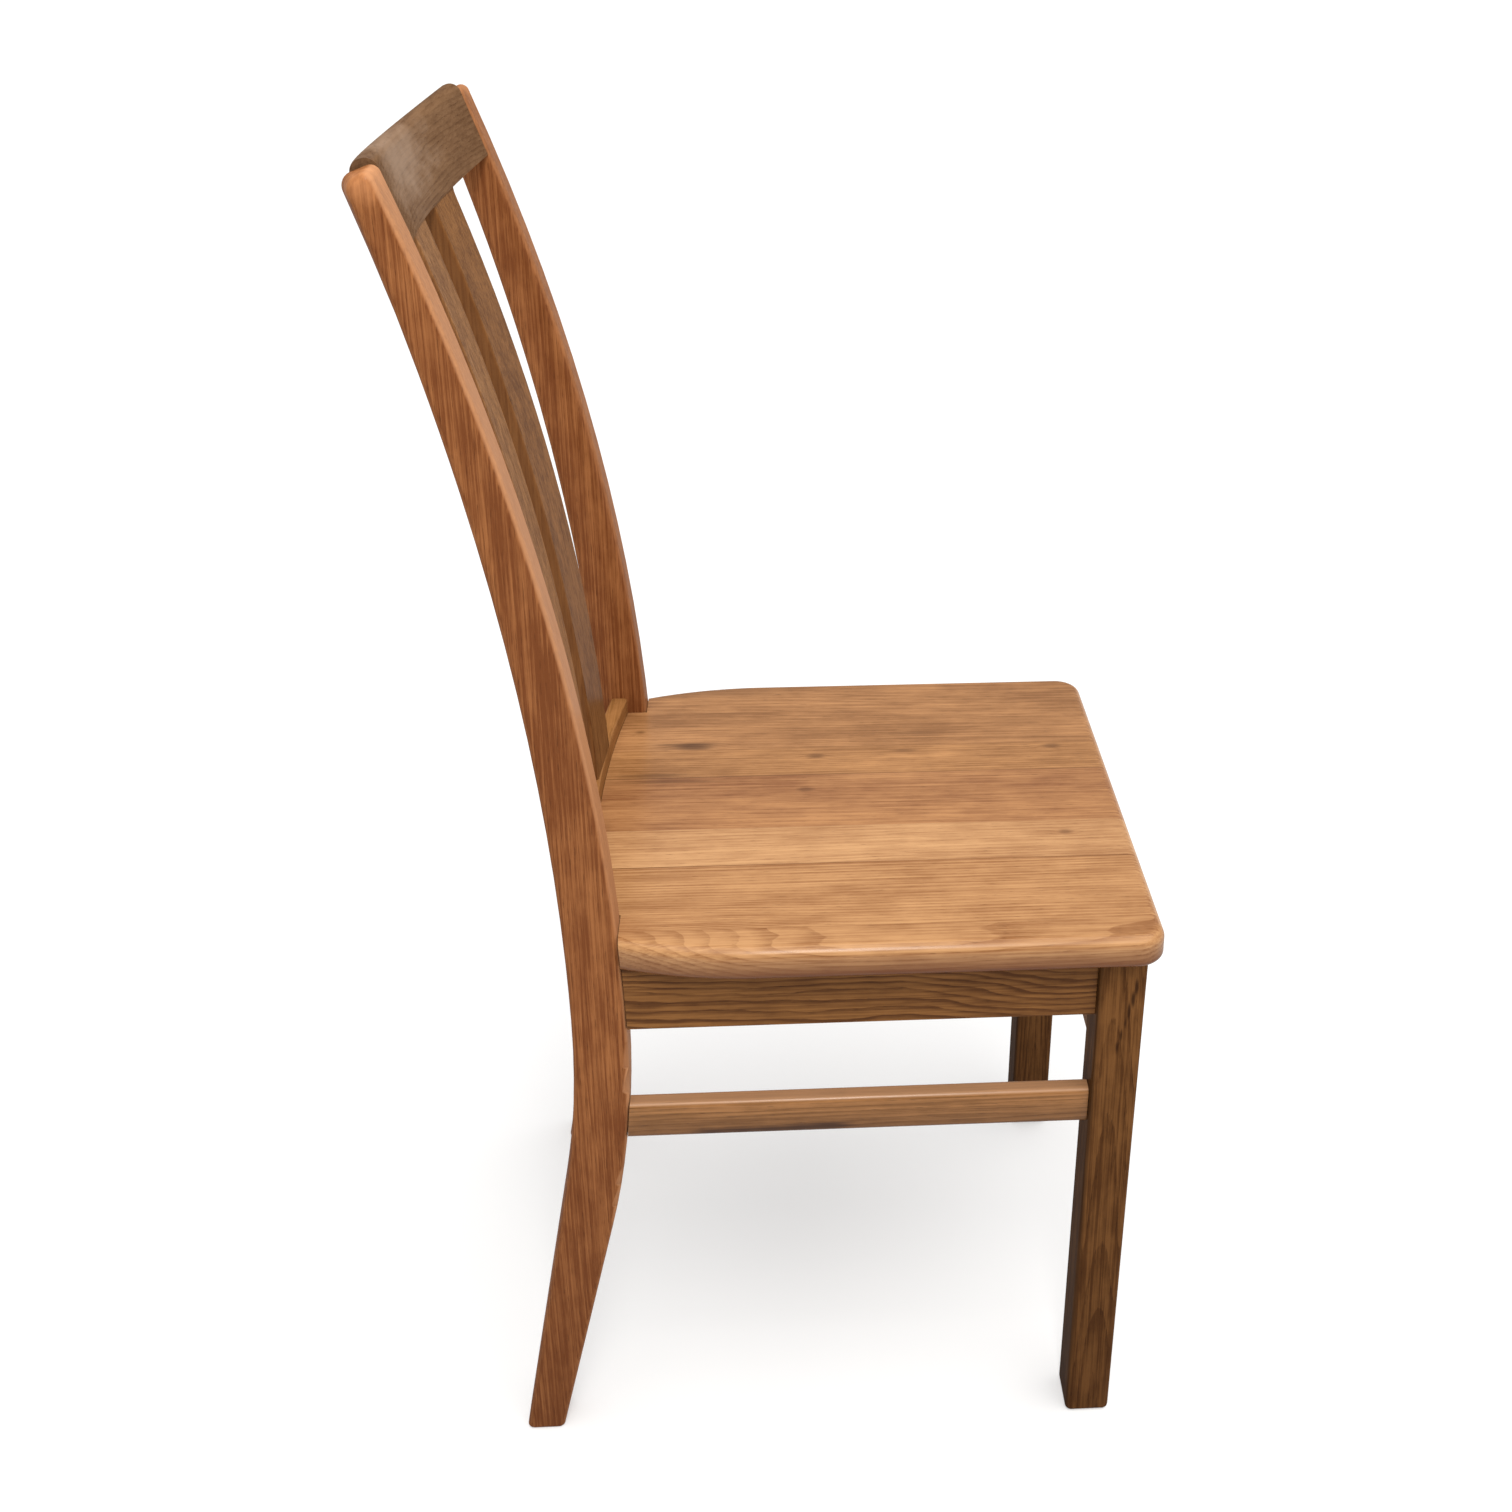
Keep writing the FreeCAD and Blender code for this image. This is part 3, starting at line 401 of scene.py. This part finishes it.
    # surface: fibres stand up, and pores and year lines are sunk and rougher
    rough = g.fit(fibre, 0.3, 0.8, gloss, gloss + FIBRE_ROUGHNESS)
    rough = g.add(rough, g.times(pore_mark, PORE_ROUGHNESS))
    rough = g.subtract(rough, g.times(wear_and_highlight, WORN_SMOOTHNESS))
    g.feed(g.shader.inputs["Roughness"], rough)
    relief = g.subtract(g.times(fibre, FIBRE_RELIEF), g.times(pore_mark, PORE_RELIEF))
    relief = g.subtract(relief, g.times(ring, RING_RELIEF))
    bump = g.put("ShaderNodeBump")
    bump.inputs["Strength"].default_value = BUMP_STRENGTH
    bump.inputs["Distance"].default_value = BUMP_METRES
    g.feed(bump.inputs["Height"], relief)
    g.feed(g.shader.inputs["Normal"], bump.outputs[0])
    g.shader.inputs["Specular IOR Level"].default_value = 0.0
    g.shader.inputs["Coat Weight"].default_value = coat
    g.shader.inputs["Coat Roughness"].default_value = COAT_ROUGHNESS
    return g.material


def zinc():
    """Zinc-plated steel, for the screws."""
    g = Graph("zinc")
    place = g.put("ShaderNodeTexCoord").outputs["Object"]
    haze = g.noise(place, 900.0)
    g.feed(g.shader.inputs["Base Color"], g.mix(haze, srgb(168, 166, 160), srgb(206, 204, 198)))
    g.shader.inputs["Metallic"].default_value = 1.0
    g.feed(g.shader.inputs["Roughness"], g.fit(haze, 0.3, 0.7, 0.25, 0.45))
    return g.material


# ---- dressing the pieces

SEAT_TOP = 0.460
SEAT_COAT = 0.5

# The roughness of the seat, the sawn blocks and the dowels.
SEAT_GLOSS = 0.33
SAWN_GLOSS = 0.7
DOWEL_GLOSS = 0.6

# Painted shade on the seat's edge, from just under its top rounding down to its underside.
SEAT_SHADE = (0.456, 0.437, 0.95)

# The glue line on each seat board's left edge: half its width, its reach, its depth, and how
# dark it is from the first board to the last.
GLUE_LINE_SIZE = (0.0018, 0.60, 0.030)
GLUE_LINES = (0.12, 0.70, 0.15, 0.70, 0.25, 0.0)

RED = (srgb(150, 96, 56), srgb(109, 61, 31), srgb(59, 29, 13))
BROWN = (srgb(112, 74, 40), srgb(76, 46, 22), srgb(36, 18, 9))
UMBER = (srgb(132, 89, 49), srgb(84, 51, 26), srgb(37, 21, 9))
TAN = (srgb(157, 108, 63), srgb(118, 77, 38), srgb(62, 35, 16))
SLATS = {"left": (srgb(134, 91, 52), srgb(91, 57, 30), srgb(52, 31, 16)),
         "right": (srgb(152, 109, 69), srgb(104, 69, 42), srgb(60, 39, 23))}
GREY_BROWN = (srgb(121, 90, 63), srgb(91, 63, 40), srgb(51, 30, 19))
GOLDEN = (srgb(187, 140, 94), srgb(139, 92, 54), srgb(88, 44, 16))
BEECH = (srgb(210, 170, 122), srgb(186, 142, 96), srgb(130, 92, 58))


def dress(node, material):
    for slot in nodes[node].material_slots:
        slot.material = material


def on_seat(x, y, *rest):
    """A mark on the seat's top: where it is, then its size and strength."""
    return ((x, y, SEAT_TOP), *rest)


def seat_boards():
    """The look of each seat board, from the chair's right to its left."""
    arches = on_seat(-0.206, 0.175, (0.034, 0.130, 0.050), -0.036)
    nested = on_seat(-0.206, 0.175, (0.500, 0.130, 0.500), -0.034)
    return (
        dict(tones=GOLDEN, pith=(-0.212, 0.060 - SEAT_TOP, 0.03), rings=240.0, wave=0.007,
             line=0.75, cloud=0.7, seed=36.0, knots=(nested,)),
        dict(tones=GOLDEN, pith=(-0.56, -SEAT_TOP, 0.01), rings=240.0, wave=0.003,
             line=0.6, cloud=0.7, seed=36.0, knots=(arches,)),
        dict(tones=(srgb(195, 149, 103), srgb(149, 103, 65), srgb(94, 59, 37)),
             pith=(-0.40, 0.20 - SEAT_TOP, 0.02), rings=240.0, wave=0.006,
             line=0.3, cloud=0.85, seed=39.0,
             knots=(on_seat(-0.066, -0.217, (0.006, 0.009, 0.010), 0.004),)),
        dict(tones=(srgb(178, 128, 83), srgb(128, 82, 50), srgb(86, 51, 29)),
             pith=(0.30, 0.12 - SEAT_TOP, 0.03), rings=170.0, wave=0.012,
             line=0.3, cloud=1.0, seed=42.0,
             knots=(on_seat(0.017, -0.016, (0.006, 0.010, 0.010), 0.005),),
             streaks=(on_seat(0.038, 0.100, (0.006, 0.055, 0.020), 0.60),)),
        dict(tones=(srgb(185, 134, 86), srgb(132, 89, 52), srgb(84, 51, 28)),
             pith=(0.35, -SEAT_TOP, 0.01), rings=260.0, wave=0.006,
             line=0.35, cloud=0.85, seed=45.0,
             knots=(on_seat(0.078, -0.026, (0.007, 0.012, 0.010), 0.006),
                    on_seat(0.086, -0.226, (0.007, 0.012, 0.010), 0.006)),
             streaks=(on_seat(0.048, 0.108, (0.004, 0.040, 0.020), 0.60),
                      on_seat(0.084, -0.102, (0.005, 0.014, 0.020), 0.45))),
        dict(tones=(srgb(179, 129, 84), srgb(127, 85, 50), srgb(72, 44, 25)),
             pith=(0.42, 0.16 - SEAT_TOP, 0.03), rings=180.0, wave=0.010,
             line=0.4, cloud=0.95, seed=48.0,
             knots=(on_seat(0.100, 0.076, (0.012, 0.022, 0.010), 0.010),
                    on_seat(0.132, 0.124, (0.006, 0.009, 0.010), 0.005)),
             streaks=(on_seat(0.103, 0.084, (0.007, 0.036, 0.020), 0.70),
                      on_seat(0.213, 0.085, (0.015, 0.110, 0.030), 0.35),
                      on_seat(0.118, -0.110, (0.006, 0.030, 0.020), 0.25))),
    )


def row_of_marks(start, end, count, size, strength):
    """Overlapping marks from start to end, which read as one line."""
    start, end = Vector(start), Vector(end)
    return [(tuple(start.lerp(end, number / (count - 1))), size, strength)
            for number in range(count)]


def dress_seat():
    for number, (board, glue) in enumerate(zip(seat_boards(), GLUE_LINES), start=1):
        node = f"seat_board_{number}"
        _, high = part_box(node)
        joint = on_seat(high.x, 0.0, GLUE_LINE_SIZE, glue)
        board["streaks"] = board.get("streaks", ()) + (joint,)
        dress(node, oak(f"board_oak_{number}", ALONG_Y, gloss=SEAT_GLOSS,
                        coat=SEAT_COAT, darken_below=SEAT_SHADE, **board))


def dress_frame():
    # a thin split leans across the near front leg, and a rough strip of bark lines the stretcher
    crack = row_of_marks((-0.2115, -0.2507, 0.410), (-0.2115, -0.2389, 0.358), 6,
                         (0.006, 0.0015, 0.008), 0.8)
    bark = row_of_marks((-0.204, 0.060, 0.2880), (-0.204, -0.025, 0.2900), 5,
                        (0.012, 0.022, 0.0045), 1.0)
    # painted highlights on the upper ends of the posts and a painted sheen on the middle of the
    # crest
    painted_post_end_highlights = [((side * 0.205, 0.245, 0.990), (0.030, 0.030, 0.020), srgb(205, 140, 92), 0.75)
            for side in (-1.0, 1.0)]
    painted_crest_sheen = (((-0.025, 0.242, 0.966), (0.095, 0.060, 0.032), srgb(160, 136, 116), 0.55),)
    for name, side in (("right", -1.0), ("left", 1.0)):
        near = side < 0.0
        dress(f"rear_post_{name}", oak(
            f"post_oak_{name}", ALONG_Z, RED, (side * 0.30, 0.02, 0.02), rings=420.0, wave=0.004,
            line=0.6, cloud=1.0, fine=1.5, darken_below=(0.36, 0.0, 0.35), painted_highlights=painted_post_end_highlights,
            # painted light on the posts' front faces, stronger on the near post
            painted_side_light=((0.0, -0.8, 0.6), srgb(206, 153, 112), 0.55 if near else 0.2),
            seed=2.0 + side))
        dress(f"front_leg_{name}", oak(
            f"leg_oak_{name}", ALONG_Z, BROWN, (side * 0.180, -0.236, 0.025), rings=420.0,
            wave=0.0035, line=0.9, cloud=0.3, fine=1.7, coat=0.06,
            streaks=crack if near else (), darken_below=(0.36, 0.0, 0.4),
            # painted shade on the legs' rear faces
            painted_side_light=((0.0, 1.0, 0.0), srgb(38, 24, 14), 0.6), seed=5.0 + side))
        dress(f"side_rail_{name}", oak(
            f"rail_oak_{name}", ALONG_Y, UMBER, (side * 0.2, -0.16, 0.012), rings=190.0,
            wave=0.022, line=1.6, fine=0.95, seed=8.0 + side))
        dress(f"side_stretcher_{name}", oak(
            f"stretcher_oak_{name}", ALONG_Y, TAN, (side * 0.33, -0.20, 0.01), rings=380.0,
            wave=0.004, line=0.9, fine=1.4, streaks=bark if near else (), coat=0.5,
            # painted shade towards the stretcher's lower edge, and painted light on its top face
            darken_below=(0.308, 0.284, 0.65), painted_side_light=((0.0, 0.0, 1.0), srgb(204, 160, 124), 0.50),
            seed=11.0 + side))
        dress(f"back_slat_{name}", oak(
            f"slat_oak_{name}", ALONG_Z, SLATS[name], (side * 0.25, 0.0, 0.03), rings=360.0,
            # painted shade on the slats' sides that face the chair's right
            wave=0.004, line=0.5, fine=1.4, painted_side_light=((-1.0, 0.0, 0.0), srgb(100, 60, 30), 0.6),
            seed=14.0 + side))
    dress("crest_rail", oak(
        "crest_oak", ALONG_X, GREY_BROWN, (0.80, 0.18, 0.02), rings=260.0, wave=0.008,
        # painted sheen on the middle of the crest
        line=0.6, cloud=0.9, painted_highlights=painted_crest_sheen, fine=0.8, seed=17.0))
    dress("lower_back_rail", oak(
        "lower_back_oak", ALONG_X, TAN, (0.30, 0.2, 0.01), rings=380.0, line=0.4, seed=20.0))
    for number, node in enumerate(("front_rail", "rear_rail")):
        dress(node, oak(
            f"{node}_oak", ALONG_X, UMBER, (0.16, 0.2, 0.012), rings=190.0, wave=0.010,
            line=0.9, seed=23.0 + number))


def dress_hidden_parts():
    """The sawn corner blocks, the beech dowels and the screws."""
    sawn = oak("block_oak", ALONG_Z, TAN, (0.3, 0.3, 0.0), gloss=SAWN_GLOSS, seed=60.0)
    beech = oak("dowel_beech", ALONG_X, BEECH, (0.3, 0.3, 0.0), line=0.2, gloss=DOWEL_GLOSS,
                seed=70.0)
    metal = zinc()
    for node in nodes:
        if node.endswith("screws"):
            dress(node, metal)
        elif node.endswith("dowels"):
            dress(node, beech)
        elif node.startswith("corner_block_"):
            dress(node, sawn)


add_camera()
add_stage()
dress_frame()
dress_seat()
dress_hidden_parts()

bpy.context.scene.view_settings.view_transform = "Standard"
